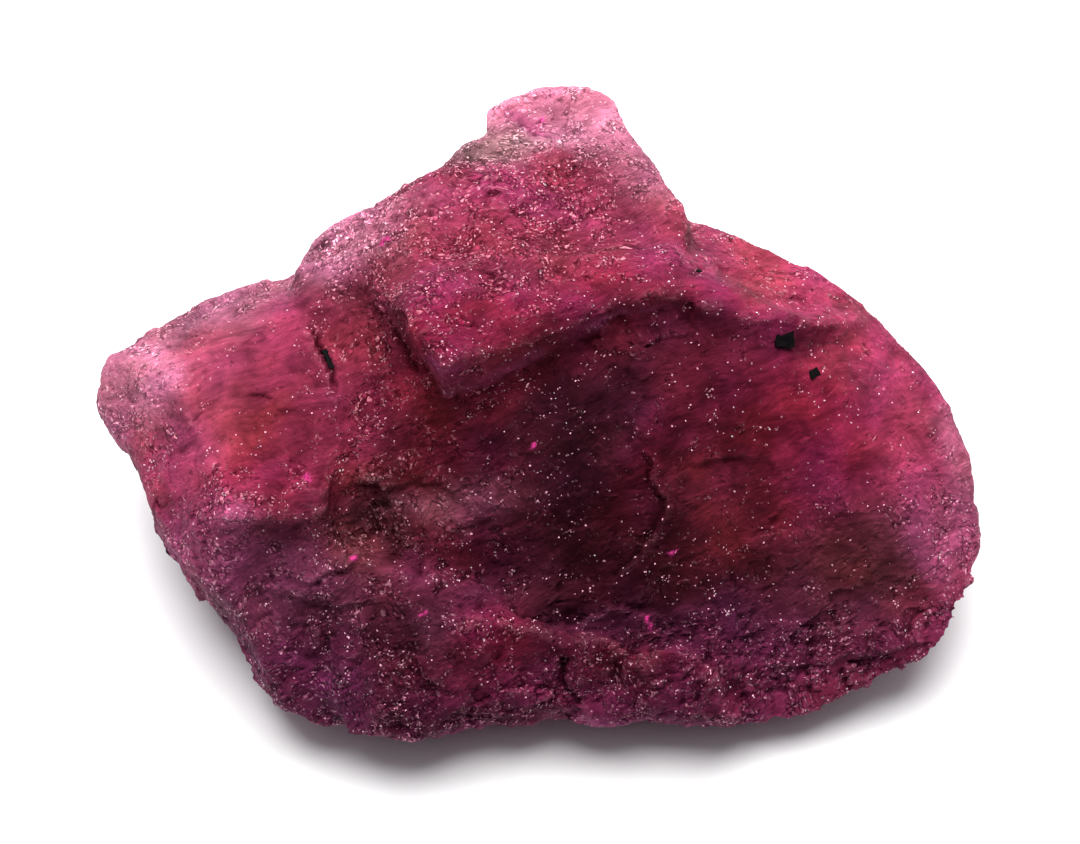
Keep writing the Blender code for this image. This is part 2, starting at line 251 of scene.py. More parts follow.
# Dark mineral grains set in the skin: (place in plan, length, width, depth, turn in degrees), in mm
DARK_GRAINS = {
    "dark_grain_square": ((13.2, 0.45), 1.0, 1.0, 0.8, 4.0),
    "dark_grain_small": ((14.8, -0.9), 0.65, 0.5, 0.5, 35.0),
    "dark_grain_long": ((-11.1, 0.5), 1.3, 0.45, 0.6, -65.0),
    "dark_grain_tiny": ((8.7, 4.25), 0.4, 0.3, 0.4, 60.0),
}

# Hot pink flecks where a clear crystal shows at the surface: (place in plan, half length and half
# width, turn in degrees), in mm
PINK_FLECKS = [
    ((7.4, -9.2), (0.42, 0.18), 10.0),
    ((5.9, -12.3), (0.6, 0.18), -60.0),
    ((-9.5, -10.1), (0.34, 0.24), 0.0),
    ((0.3, 15.2), (0.45, 0.3), -20.0),
    ((-8.3, 6.6), (0.4, 0.25), 20.0),
    ((-5.9, -12.8), (0.45, 0.2), 30.0),
    ((-12.2, -6.6), (0.3, 0.22), 0.0),
    ((-0.2, -4.9), (0.18, 0.3), 0.0),
]


def linear(hex_colour):
    """An sRGB hex colour as linear red, green and blue."""
    parts = [int(hex_colour[start:start + 2], 16) / 255.0 for start in (1, 3, 5)]
    light = [part / 12.92 if part <= 0.04045 else ((part + 0.055) / 1.055) ** 2.4 for part in parts]
    return np.array(light)


def eased(value, low, high):
    """0 below low, 1 above high, and smooth between them. low may be the larger one."""
    share = np.clip((value - low) / (high - low), 0.0, 1.0)
    return share * share * (3.0 - 2.0 * share)


# --- The stone's skin -------------------------------------------------------------------------

def link(piece):
    """Puts a new object in the scene."""
    bpy.context.scene.collection.objects.link(piece)
    return piece


def skin_over(solid):
    """A closed skin over the solid, with a point every SKIN_GRAIN."""
    bm = bmesh.new()
    bm.from_mesh(solid.data)
    bmesh.ops.remove_doubles(bm, verts=bm.verts, dist=1e-6)
    block_mesh = bpy.data.meshes.new("rough_block")
    bm.to_mesh(block_mesh)
    bm.free()
    block = link(bpy.data.objects.new("rough_block", block_mesh))
    skin = block.modifiers.new("skin", "REMESH")
    skin.mode = "VOXEL"
    skin.voxel_size = SKIN_GRAIN * MM
    relax = block.modifiers.new("relax", "SMOOTH")
    relax.factor = 0.5
    relax.iterations = EASINGS
    evaluated = block.evaluated_get(bpy.context.evaluated_depsgraph_get())
    stone = link(bpy.data.objects.new("raw_ruby", bpy.data.meshes.new_from_object(evaluated)))
    stone.data.name = "raw_ruby"
    bpy.data.objects.remove(block)
    drop_loose_bits(stone.data)
    return stone


def drop_loose_bits(mesh):
    """Keeps the largest connected piece of the skin, and leaves out the crumbs."""
    bm = bmesh.new()
    bm.from_mesh(mesh)
    unseen = set(bm.verts)
    pieces = []
    while unseen:
        piece = {unseen.pop()}
        front = list(piece)
        while front:
            reached = {edge.other_vert(vertex) for vertex in front for edge in vertex.link_edges}
            front = reached - piece
            piece |= front
        unseen -= piece
        pieces.append(piece)
    stone_piece = max(pieces, key=len)
    crumbs = [vertex for vertex in bm.verts if vertex not in stone_piece]
    bmesh.ops.delete(bm, geom=crumbs, context="VERTS")
    bm.to_mesh(mesh)
    bm.free()


def points_of(mesh):
    """The skin's points in mm, and their outward normals, as arrays."""
    places = np.empty(len(mesh.vertices) * 3)
    normals = np.empty(len(mesh.vertices) * 3)
    mesh.vertices.foreach_get("co", places)
    mesh.vertices.foreach_get("normal", normals)
    return places.reshape(-1, 3) / MM, normals.reshape(-1, 3)


def neighbour_average(mesh, values):
    """Each point's mean of its neighbours' values."""
    ends = np.empty(len(mesh.edges) * 2, dtype=np.int64)
    mesh.edges.foreach_get("vertices", ends)
    first, second = ends[0::2], ends[1::2]
    count = np.bincount(np.concatenate([first, second]), minlength=len(values))
    totals = []
    for column in values.T:
        from_second = np.bincount(first, column[second], len(values))
        from_first = np.bincount(second, column[first], len(values))
        totals.append(from_second + from_first)
    return np.array(totals).T / count[:, None]


def lumps(places, size):
    """Smooth noise from -1 to 1 with lumps of about this size in mm."""
    return np.array([noise.noise(place) for place in (places / size).tolist()])


def drift(places, size, reach):
    """Each point moved about by up to reach mm, so that what is drawn there comes out ragged."""
    return places + reach * np.array([noise.noise_vector(place) for place in (places / size).tolist()])


def chips(places, size):
    """A chipped surface: each grain of this size in mm ends in a plane with a lean of its own."""
    heights = []
    for place in (places / size).tolist():
        centre = noise.voronoi(place)[1][0]
        lean = noise.noise_vector(centre * 9.7)
        heights.append(lean.dot(Vector(place) - centre) + 0.5 * noise.noise(centre * 5.1))
    return np.array(heights)


def along_line(plan, points):
    """How far each place is from a line in plan, its side of it, and how clear it is of the ends."""
    points = np.array(points)
    nearest = np.full(len(plan), np.inf)
    side = np.zeros(len(plan))
    travelled = np.zeros(len(plan))
    walked = 0.0
    for start, end in zip(points[:-1], points[1:]):
        step = end - start
        length = math.hypot(*step)
        share = np.clip((plan - start) @ step / length**2, 0.0, 1.0)
        away = plan - (start + share[:, None] * step)
        distance = np.hypot(away[:, 0], away[:, 1])
        closer = distance < nearest
        nearest[closer] = distance[closer]
        side[closer] = np.sign(step[0] * away[closer, 1] - step[1] * away[closer, 0])
        travelled[closer] = (walked + share * length)[closer]
        walked += length
    from_end = np.minimum(travelled, walked - travelled)
    return nearest, side, eased(from_end, 0.0, 0.25 * walked)


def across_oval(plan, centre, half_length, half_width, turn):
    """Each place measured along and across an oval that is turned in plan: 1 is at its edge."""
    away = plan - np.array(centre)
    along, across = math.cos(math.radians(turn)), math.sin(math.radians(turn))
    u = (away[:, 0] * along + away[:, 1] * across) / half_length
    v = (away[:, 1] * along - away[:, 0] * across) / half_width
    return u, v


def ledge_relief(plan):
    """The ledges' height at each place, in mm."""
    relief = np.zeros(len(plan))
    for height, reach, points in LEDGES.values():
        distance, side, inside = along_line(plan, points)
        above = eased(side * distance, -0.12, 0.16)
        relief += height * above * np.exp(-distance / reach) * inside
    return relief


def crack_relief(plan):
    """The cracks' depth at each place, in mm, and a mask that is 1 at the bottom of one."""
    opened = np.zeros(len(plan))
    depth = np.zeros(len(plan))
    for deepest, half_width, points in CRACKS.values():
        distance, _, inside = along_line(plan, points)
        here = np.clip(1.0 - distance / half_width, 0.0, 1.0) * (0.3 + 0.7 * inside)
        depth = np.maximum(depth, deepest * here)
        opened = np.maximum(opened, here)
    return depth, opened


def knob_relief(plan):
    """The knobs' and pits' height at each place, in mm."""
    relief = np.zeros(len(plan))
    for centre, radius, height in KNOBS.values():
        out = np.hypot(*(plan - np.array(centre)).T) / radius
        relief += height * eased(1.0 - out, 0.0, 0.8)
    return relief


def crusted(places):
    """How thick the granular crust is: full on the low rim and underneath, none on the crown."""
    return eased(places[:, 2] + 1.0 * lumps(places, 2.4), CRUST_TOP, CRUST_FULL)


def break_skin(stone, grain):
    """Breaks ledges, cracks, knobs and chips into the skin, and leaves its flat foot as it is."""
    places, normals = points_of(stone.data)
    ragged = drift(drift(places, 1.7, 0.45), 0.6, 0.16)
    plan = ragged[:, :2]
    upward = eased(normals[:, 2], 0.05, 0.4)
    crack_depth, opened = crack_relief(plan)
    relief = upward * (ledge_relief(plan) + knob_relief(plan) - crack_depth)
    torn = crusted(places)
    for size, waxy, grainy, crusty in CHIPS:
        relief += (waxy + grainy * grain + crusty * torn) * chips(ragged, size)
    above_foot = eased(places[:, 2], FOOT_LEFT_ALONE, FOOT_WORKED)
    worked = places + normals * (relief * above_foot)[:, None]
    worked[:, 2] = np.maximum(worked[:, 2], 0.0)
    stone.data.vertices.foreach_set("co", (worked * MM).ravel())
    stone.data.update()
    return opened * upward


# --- Its colour -------------------------------------------------------------------------------

def melted_zones(mesh):
    """The stone's own colour and grain at each point, with its zones melted together."""
    places, normals = points_of(mesh)
    ragged = drift(drift(places, 3.2, 1.1), 0.9, 0.35)
    seen_above = eased(normals[:, 2] + 0.25 * lumps(places, 3.0), -0.15, 0.35)
    weight = np.full(len(places), HIDDEN_WEIGHT)
    colour = weight[:, None] * linear(HIDDEN_HEX)
    grain = weight * HIDDEN_GRAIN
    for centre, (half_length, half_width), turn, hex_colour, strength, zone_grain in ZONES.values():
        u, v = across_oval(ragged[:, :2], centre, half_length, half_width, turn)
        share = strength * np.exp(-ZONE_FADE * (u * u + v * v)) * seen_above
        weight += share
        colour += share[:, None] * linear(hex_colour)
        grain += share * zone_grain
    colour /= weight[:, None]
    grain /= weight
    crust = crusted(places)
    crust_share = (CRUST_COVER * crust)[:, None]
    colour = colour * (1.0 - crust_share) + crust_share * linear(CRUST_HEX)
    return colour, np.maximum(grain, CRUST_GRAIN * crust)


def thinness(mesh, places, normals):
    """1 where the stone is thin enough for light to come through it, and 0 where it is thick."""
    faces = [tuple(face.vertices) for face in mesh.polygons]
    tree = BVHTree.FromPolygons(places.tolist(), faces)
    thin = np.zeros(len(places))
    inward = (-normals).tolist()
    starts = (places - 0.12 * normals).tolist()
    for index, (start, direction) in enumerate(zip(starts, inward)):
        through = tree.ray_cast(start, direction)[3]
        if through:
            thin[index] = math.exp(-through / LIGHT_REACH)
    for _ in range(6):
        thin = neighbour_average(mesh, thin[:, None])[:, 0]
    return thin


def creases(mesh, places, normals):
    """Above 0 in a valley of the skin and below 0 on an edge, about -1 to 1."""
    hollow = (neighbour_average(mesh, places) - places) * normals
    depth = hollow.sum(axis=1)[:, None]
    for _ in range(2):
        depth = 0.5 * depth + 0.5 * neighbour_average(mesh, depth)
    return np.clip(depth[:, 0] / SHARP_CREASE, -1.0, 1.0)


def pink_flecks(places, normals):
    """1 in a hot pink fleck, fading to 0 round it."""
    flecks = np.zeros(len(places))
    ragged = drift(places, 0.5, 0.35)
    for centre, (half_length, half_width), turn in PINK_FLECKS:
        u, v = across_oval(ragged[:, :2], centre, half_length, half_width, turn)
        fleck = eased(1.0 - np.hypot(u, v), 0.0, 0.6) * eased(normals[:, 2], 0.0, 0.3)
        flecks = np.maximum(flecks, fleck)
    return flecks


def write_mask(mesh, name, values):
    """Keeps one number for each point, for the material to read."""
    mask = mesh.attributes.new(name, "FLOAT", "POINT")
    mask.data.foreach_set("value", np.ascontiguousarray(values, dtype=np.float32))


def keep_masks(stone, colour, grain, opened):
    """Keeps the stone's colour, and the masks that its material reads, at each point."""
    mesh = stone.data
    places, normals = points_of(mesh)
    tint = mesh.color_attributes.new("tint", "FLOAT_COLOR", "POINT")
    painted = np.ones((len(places), 4), dtype=np.float32)
    painted[:, :3] = colour
    tint.data.foreach_set("color", painted.ravel())
    write_mask(mesh, "grain", grain)
    write_mask(mesh, "crack", opened)
    write_mask(mesh, "pink", pink_flecks(places, normals))
    write_mask(mesh, "thin", thinness(mesh, places, normals))
    write_mask(mesh, "crease", creases(mesh, places, normals))


# --- Materials --------------------------------------------------------------------------------

def new_material(name):
    """An empty material with an output, and its node tree."""
    material = bpy.data.materials.new(name)
    material.use_nodes = True
    material.node_tree.nodes.clear()
    return material, material.node_tree


def add(tree, kind, settings=None, links=None):
    """Adds a node with its settings. A link gives an input a value, a socket, or a node's output."""
    node = tree.nodes.new(kind)
    for name, value in (settings or {}).items():
        setattr(node, name, value)
    for name, value in (links or {}).items():
        if isinstance(value, bpy.types.Node):
            value = next(output for output in value.outputs if output.enabled)
        if isinstance(value, bpy.types.NodeSocket):
            tree.links.new(value, node.inputs[name])
        else:
            node.inputs[name].default_value = value
    return node


def rgba(hex_colour):
    """An sRGB hex colour as a node's input takes it."""
    return (*linear(hex_colour), 1.0)


def crystal_grains(tree, place, size, lean):
    """Packed broken crystals of this size in mm: their random shades, and their faces' height."""
    cells = add(tree, "ShaderNodeTexVoronoi", None, {"Vector": place, "Scale": 1.0 / size})
    away = add(tree, "ShaderNodeVectorMath", {"operation": "SUBTRACT"},
               {0: place, 1: cells.outputs["Position"]})
    slope = add(tree, "ShaderNodeVectorMath", {"operation": "MULTIPLY_ADD"},
                {0: cells.outputs["Color"], 1: (2.0 * lean,) * 3, 2: (-lean,) * 3})
    face = add(tree, "ShaderNodeVectorMath", {"operation": "DOT_PRODUCT"}, {0: away, 1: slope})
    shades = add(tree, "ShaderNodeSeparateColor", None, {0: cells.outputs["Color"]})
    return shades.outputs, face.outputs["Value"]


def streaks(tree, place, size, lie, detail):
    """Streaks of this size in mm, turned to lie this way."""
    laid = add(tree, "ShaderNodeMapping", {"vector_type": "TEXTURE"},
               {"Vector": place, "Rotation": lie, "Scale": size})
    return add(tree, "ShaderNodeTexNoise", None,
               {"Vector": laid, "Scale": 1.0, "Detail": detail, "Roughness": 0.62}).outputs["Fac"]


def unpolished_ruby():
    """Ruby is red corundum. Broken and never polished, it glitters on each tiny fracture face.

    The skin between them is dull, and the little light that it gives back is tinted by the stone.
    Thin edges get a painted glow, for the light that comes through them, and thick parts are dark.
    Creases, cracks and the gaps between crystals get painted shade. The glitter is partly real
    reflection from a clear coat on the facets and partly painted highlight.
    """
    material, tree = new_material("unpolished_ruby")
    place = add(tree, "ShaderNodeTexCoord").outputs["Object"]
    mm = add(tree, "ShaderNodeVectorMath", {"operation": "SCALE"}, {0: place, "Scale": 1.0 / MM})
    tint = add(tree, "ShaderNodeAttribute", {"attribute_name": "tint"}).outputs["Color"]
    grain = add(tree, "ShaderNodeAttribute", {"attribute_name": "grain"}).outputs["Fac"]
    crack = add(tree, "ShaderNodeAttribute", {"attribute_name": "crack"}).outputs["Fac"]
    pink = add(tree, "ShaderNodeAttribute", {"attribute_name": "pink"}).outputs["Fac"]
    thin = add(tree, "ShaderNodeAttribute", {"attribute_name": "thin"}).outputs["Fac"]
    crease = add(tree, "ShaderNodeAttribute", {"attribute_name": "crease"}).outputs["Fac"]

    # The field is bent, so that what is drawn in it swirls over 3.5 mm. It is crumbled over 0.3 mm, so
    # that edges are ragged.
    swirl = add(tree, "ShaderNodeTexNoise", None, {"Vector": mm, "Scale": 1.0 / 3.5, "Detail": 1.0})
    bent = add(tree, "ShaderNodeVectorMath", {"operation": "MULTIPLY_ADD"},
               {0: swirl.outputs["Color"], 1: (2.2, 2.2, 2.2), 2: mm})
    crumble = add(tree, "ShaderNodeTexNoise", None, {"Vector": mm, "Scale": 1.0 / 0.3, "Detail": 0.0})
    ragged = add(tree, "ShaderNodeVectorMath", {"operation": "MULTIPLY_ADD"},
                 {0: crumble.outputs["Color"], 1: (0.3, 0.3, 0.3), 2: bent})

    # The colour lies unevenly: soft patches 3 mm across, clouds of 1 mm, and parting sheets 0.3 mm
    # thick.
    patches = add(tree, "ShaderNodeTexNoise", None,
                  {"Vector": bent, "Scale": 1.0 / 3.0, "Detail": 3.0, "Roughness": 0.6})
    by_patch = add(tree, "ShaderNodeMapRange", None,
                   {"Value": patches, "From Min": 0.36, "From Max": 0.64, "To Min": 0.62, "To Max": 1.38})
    clouds = add(tree, "ShaderNodeTexNoise", None,
                 {"Vector": bent, "Scale": 1.0 / 1.0, "Detail": 4.0, "Roughness": 0.65})
    by_cloud = add(tree, "ShaderNodeMapRange", None,
                   {"Value": clouds, "From Min": 0.3, "From Max": 0.7, "To Min": 0.78, "To Max": 1.22})
    sheets_lie = Vector(SHEET_NORMAL).to_track_quat("Z", "Y").to_euler()
    sheets = streaks(tree, bent, PARTING_SHEET, sheets_lie, 3.0)
    by_sheet = add(tree, "ShaderNodeMapRange", None,
                   {"Value": sheets, "From Min": 0.35, "From Max": 0.65, "To Min": 0.8, "To Max": 1.2})

    # Silk: fine fibres that lie two ways. Waxy parts show hardly any.
    lying = add(tree, "ShaderNodeTexNoise", None, {"Vector": mm, "Scale": 1.0 / 2.8, "Detail": 1.0})
    which = add(tree, "ShaderNodeMapRange", None, {"Value": lying, "From Min": 0.45, "From Max": 0.55})
    one_way = streaks(tree, bent, SILK_FIBRE, (0.0, 0.0, math.radians(24.0)), 2.0)
    other_way = streaks(tree, bent, SILK_FIBRE, (0.0, 0.0, math.radians(-34.0)), 2.0)
    fibre = add(tree, "ShaderNodeMix", {"data_type": "FLOAT"}, {0: which, 2: one_way, 3: other_way})
    torn = add(tree, "ShaderNodeMapRange", None,
               {"Value": grain, "From Min": 0.05, "From Max": 0.35, "To Min": 0.15, "To Max": 1.0})
    silky = add(tree, "ShaderNodeMapRange", None,
                {"Value": fibre, "From Min": 0.35, "From Max": 0.7, "To Min": 0.78, "To Max": 1.4})
    by_fibre = add(tree, "ShaderNodeMix", {"data_type": "FLOAT"}, {0: torn, 2: 1.0, 3: silky})

    # Veins: torn edges 0.4 mm wide that wander over 3 mm, where loose crystals gather
    wander = add(tree, "ShaderNodeTexNoise", None,
                 {"Vector": bent, "Scale": 1.0 / 3.4, "Detail": 4.0, "Roughness": 0.6})
    off_vein = add(tree, "ShaderNodeMath", {"operation": "SUBTRACT"}, {0: wander, 1: 0.5})
    off_vein = add(tree, "ShaderNodeMath", {"operation": "ABSOLUTE"}, {0: off_vein})
    in_vein = add(tree, "ShaderNodeMapRange", None,
                  {"Value": off_vein, "From Min": 0.0, "From Max": 0.022, "To Min": 1.0, "To Max": 0.0})
    strewn = add(tree, "ShaderNodeTexNoise", None,
                 {"Vector": mm, "Scale": 1.0 / 0.9, "Detail": 3.0, "Roughness": 0.7})
    gathered = add(tree, "ShaderNodeMapRange", None,
                   {"Value": strewn, "From Min": 0.5, "From Max": 0.68, "To Min": 0.0, "To Max": 1.0})
    vein = add(tree, "ShaderNodeMath", {"operation": "MULTIPLY"}, {0: in_vein, 1: gathered})

    # Clusters of broken crystals 1.5 mm across. The grainier the break, the more of it they cover.
    cluster = add(tree, "ShaderNodeTexNoise", None,
                  {"Vector": bent, "Scale": 1.0 / 1.5, "Detail": 4.0, "Roughness": 0.72})
    bare = add(tree, "ShaderNodeMapRange", None,
               {"Value": grain, "From Min": 0.0, "From Max": 1.0, "To Min": 0.66, "To Max": 0.38})
    covered = add(tree, "ShaderNodeMath", {"operation": "SUBTRACT"}, {0: cluster, 1: bare})
    packed = add(tree, "ShaderNodeMapRange", None, {"Value": covered, "From Min": 0.0, "From Max": 0.11})
    rough = add(tree, "ShaderNodeMath", {"operation": "MAXIMUM"}, {0: packed, 1: vein})

    # The crystals come in two sizes. Each has a tone of its own, and painted shade lies in the gaps
    # between them.
    coarse, coarse_face = crystal_grains(tree, ragged, COARSE_CRYSTAL, 0.32)
    fine, fine_face = crystal_grains(tree, ragged, FINE_CRYSTAL, 0.5)
    edges = add(tree, "ShaderNodeTexVoronoi", {"feature": "DISTANCE_TO_EDGE"},
                {"Vector": ragged, "Scale": 1.0 / COARSE_CRYSTAL})
    gap = add(tree, "ShaderNodeMapRange", None,
              {"Value": edges, "From Min": 0.0, "From Max": 0.14, "To Min": 0.85, "To Max": 0.0})
    shadow = add(tree, "ShaderNodeMath", {"operation": "MULTIPLY"}, {0: gap, 1: rough})
    by_fine = add(tree, "ShaderNodeMapRange", None, {"Value": fine[1], "To Min": 0.45, "To Max": 1.5})
    by_coarse = add(tree, "ShaderNodeMapRange", None, {"Value": coarse[1], "To Min": 0.6, "To Max": 1.35})
    shade = add(tree, "ShaderNodeMath", {"operation": "MULTIPLY"}, {0: by_fine, 1: by_coarse})
    by_crystal = add(tree, "ShaderNodeMix", {"data_type": "FLOAT"}, {0: rough, 2: 1.0, 3: shade})

    # All of these shade the stone's own tint.
    value = by_patch
    for shading in (by_cloud, by_sheet, by_fibre, by_crystal):
        value = add(tree, "ShaderNodeMath", {"operation": "MULTIPLY"}, {0: value, 1: shading})
    hue = add(tree, "ShaderNodeMapRange", None,
              {"Value": swirl, "From Min": 0.3, "From Max": 0.7, "To Min": 0.480, "To Max": 0.504})
    colour = add(tree, "ShaderNodeHueSaturation", None,
                 {"Hue": hue, "Saturation": 1.0, "Value": value, "Color": tint})

    # Painted glow: thin parts are painted towards a bright red, for the light that comes through them.
    glow = add(tree, "ShaderNodeMath", {"operation": "MULTIPLY"}, {0: thin, 1: 0.25})
    colour = add(tree, "ShaderNodeMix", {"data_type": "RGBA"}, {0: glow, 6: colour, 7: rgba("#b02c50")})

    # Painted shade: valleys, cracks and the gaps between crystals are painted with a darker copy of the
    # tint, where shade falls.
    valley_shade = add(tree, "ShaderNodeMapRange", None,
                 {"Value": crease, "From Min": 0.15, "From Max": 0.8, "To Min": 0.0, "To Max": 0.8})
    dark = add(tree, "ShaderNodeMath", {"operation": "MAXIMUM"}, {0: valley_shade, 1: crack})
    dark = add(tree, "ShaderNodeMath", {"operation": "MAXIMUM"}, {0: dark, 1: shadow})
    shaded_tint = add(tree, "ShaderNodeHueSaturation", None, {"Saturation": 1.05, "Value": 0.24, "Color": tint})
    colour = add(tree, "ShaderNodeMix", {"data_type": "RGBA"}, {0: dark, 6: colour, 7: shaded_tint})
    # One crystal in nine is crushed and painted pale: partly its own frosty colour and partly painted
    # glitter. The sharpest edges are painted paler too.
    paler = add(tree, "ShaderNodeHueSaturation", None, {"Saturation": 0.78, "Value": 3.2, "Color": tint})
    paler = add(tree, "ShaderNodeMix", {"data_type": "RGBA"}, {0: 0.13, 6: paler, 7: rgba("#f0a0b8")})
    crushed_glint = add(tree, "ShaderNodeMapRange", None,
                  {"Value": fine[2], "From Min": 0.84, "From Max": 0.94, "To Min": 0.0, "To Max": 1.0})
    crushed_glint = add(tree, "ShaderNodeMath", {"operation": "MULTIPLY"}, {0: crushed_glint, 1: rough})
    edge_paling = add(tree, "ShaderNodeMapRange", None,
               {"Value": crease, "From Min": -0.3, "From Max": -0.9, "To Min": 0.0, "To Max": 0.2})
    edge_paling = add(tree, "ShaderNodeMath", {"operation": "MULTIPLY"}, {0: edge_paling, 1: fine[0]})
    pale = add(tree, "ShaderNodeMath", {"operation": "MAXIMUM"}, {0: crushed_glint, 1: edge_paling})
    colour = add(tree, "ShaderNodeMix", {"data_type": "RGBA"}, {0: pale, 6: colour, 7: paler})

    # Hot pink where a clear crystal shows, broken up by the crystals round it
    clear = add(tree, "ShaderNodeMath", {"operation": "MULTIPLY_ADD"}, {0: fine[1], 1: 0.9, 2: -0.35})
    clear = add(tree, "ShaderNodeMath", {"operation": "ADD"}, {0: clear, 1: pink})
    clear = add(tree, "ShaderNodeMath", {"operation": "MULTIPLY", "use_clamp": True}, {0: clear, 1: pink})
    colour = add(tree, "ShaderNodeMix", {"data_type": "RGBA"}, {0: clear, 6: colour, 7: rgba("#d83c8c")})

    # Glitter: clean facets that mirror the light, most of all in clusters, in veins and on edges. Their
    # coat mirrors the lamps, and they are also painted pale pink as painted glints.
    facets, facet_face = crystal_grains(tree, mm, FACET, 0.55)
    grainy = add(tree, "ShaderNodeMath", {"operation": "ADD"}, {0: grain, 1: 0.15})
    drift_in = add(tree, "ShaderNodeMapRange", None,
                   {"Value": lying, "From Min": 0.42, "From Max": 0.62, "To Min": 0.15, "To Max": 1.5})
    crowd = add(tree, "ShaderNodeMath", {"operation": "MULTIPLY"}, {0: gathered, 1: grainy})
    crowd = add(tree, "ShaderNodeMath", {"operation": "MULTIPLY"}, {0: crowd, 1: drift_in})
    crowd = add(tree, "ShaderNodeMath", {"operation": "MULTIPLY_ADD"}, {0: vein, 1: 0.9, 2: crowd})
    edged = add(tree, "ShaderNodeMapRange", None,
                {"Value": crease, "From Min": -0.2, "From Max": -0.9, "To Min": 0.0, "To Max": 0.3})
    crowd = add(tree, "ShaderNodeMath", {"operation": "ADD"}, {0: crowd, 1: edged})
    rarest = add(tree, "ShaderNodeMapRange", None,
                 {"Value": crowd, "From Min": 0.0, "From Max": 1.3, "To Min": 0.9985, "To Max": 0.86})
    glitter = add(tree, "ShaderNodeMath", {"operation": "GREATER_THAN"}, {0: facets[0], 1: rarest})
    painted_glint = add(tree, "ShaderNodeMath", {"operation": "POWER"}, {0: facets[1], 1: 1.6})
    painted_glint = add(tree, "ShaderNodeMath", {"operation": "MULTIPLY"}, {0: painted_glint, 1: glitter})
    colour = add(tree, "ShaderNodeMix", {"data_type": "RGBA"}, {0: painted_glint, 6: colour, 7: rgba("#ffb8d0")})

    # Relief, in mm: leaning crystal faces
    height = add(tree, "ShaderNodeMath", {"operation": "ADD"}, {0: coarse_face, 1: fine_face})
    steep = add(tree, "ShaderNodeMapRange", None, {"Value": packed, "To Min": 0.12, "To Max": 1.2})
    height = add(tree, "ShaderNodeMath", {"operation": "MULTIPLY"}, {0: height, 1: steep})
    bump = add(tree, "ShaderNodeBump", None, {"Height": height, "Distance": MM, "Strength": 1.0})
    mirror = add(tree, "ShaderNodeBump", None, {"Height": facet_face, "Distance": MM, "Strength": 1.0})

    shader = add(tree, "ShaderNodeBsdfPrincipled", None,
                 {"Base Color": colour, "Roughness": 0.62, "IOR": 1.77, "Specular IOR Level": 0.05,
                  "Specular Tint": rgba("#c8506c"), "Coat Weight": glitter, "Coat Roughness": 0.15,
                  "Coat IOR": 1.77, "Coat Normal": mirror, "Normal": bump})
    add(tree, "ShaderNodeOutputMaterial", None, {"Surface": shader})
    return material


def dark_mineral():
    """Nearly black mica or hornblende, grown into the ruby: dull, and mottled by its fine grain."""
    material, tree = new_material("dark_mineral")
    place = add(tree, "ShaderNodeTexCoord").outputs["Object"]
    mottle = add(tree, "ShaderNodeTexNoise", None,
                 {"Vector": place, "Scale": 1.0 / (0.3 * MM), "Detail": 3.0})
    colour = add(tree, "ShaderNodeMix", {"data_type": "RGBA"},
                 {0: mottle.outputs["Fac"], 6: rgba("#040305"), 7: rgba("#0e0a0c")})
    bump = add(tree, "ShaderNodeBump", None, {"Height": mottle.outputs["Fac"], "Distance": 0.05 * MM})
    shader = add(tree, "ShaderNodeBsdfPrincipled", None,
                 {"Base Color": colour, "Roughness": 0.7, "IOR": 1.62, "Specular IOR Level": 0.04,
                  "Normal": bump})
    add(tree, "ShaderNodeOutputMaterial", None, {"Surface": shader})
    return material


def pale_paper():
    """Matt white card. Its pulp clouds it faintly, 2 mm across."""
    material, tree = new_material("pale_paper")
    place = add(tree, "ShaderNodeTexCoord").outputs["Object"]
    fibres = add(tree, "ShaderNodeTexNoise", None,
                 {"Vector": place, "Scale": 1.0 / (2.0 * MM), "Detail": 4.0})
    tone = add(tree, "ShaderNodeMix", {"data_type": "RGBA"},
               {0: fibres.outputs["Fac"], 6: rgba("#f5f5f7"), 7: rgba("#f9f9fa")})
    shader = add(tree, "ShaderNodeBsdfPrincipled", None,
                 {"Base Color": tone, "Roughness": 0.9, "IOR": 1.45, "Specular IOR Level": 0.2})
    add(tree, "ShaderNodeOutputMaterial", None, {"Surface": shader})
    return material


# --- Dark grains ------------------------------------------------------------------------------

def on_skin(tree, x, y):
    """The skin's point above this place in plan, and the way the skin faces round it."""
    down = Vector((0.0, 0.0, -1.0))
    facing = Vector()
    for step in range(8):
        turn = math.radians(45.0 * step)
        near = Vector((x + 0.7 * math.cos(turn), y + 0.7 * math.sin(turn), OVERHEAD))
        facing += tree.ray_cast(near, down)[1]
    return tree.ray_cast(Vector((x, y, OVERHEAD)), down)[0], facing.normalized()


def dark_grain(name, tree, centre, length, width, depth, turn, material):
    """A small irregular block of dark mineral, sunk into the skin until its top is almost flush."""
    x, y = centre
    found, facing = on_skin(tree, x, y)
    bm = bmesh.new()
    bmesh.ops.create_cube(bm, size=1.0)
    bmesh.ops.subdivide_edges(bm, edges=bm.edges, cuts=2, use_grid_fill=True)
    for vertex in bm.verts:
        vertex.co += 0.14 * noise.noise_vector(vertex.co * 1.9 + Vector((x, y, 0.0)))
    bm.transform(Matrix.Diagonal((length, width, depth, 1.0)))
    bm.transform(Matrix.Rotation(math.radians(turn), 4, "Z"))
    bm.transform(Vector((0.0, 0.0, 1.0)).rotation_difference(facing).to_matrix().to_4x4())
    bm.transform(Matrix.Translation(found - 0.38 * depth * facing))
    bm.transform(Matrix.Scale(MM, 4))
    mesh = bpy.data.meshes.new(name)
    bm.to_mesh(mesh)
    bm.free()
    grain = link(bpy.data.objects.new(name, mesh))
    grain.data.materials.append(material)
    bevel = grain.modifiers.new("worn_edges", "BEVEL")
    bevel.width = 0.05 * MM
    bevel.segments = 2
    return grain


# --- Surroundings -----------------------------------------------------------------------------

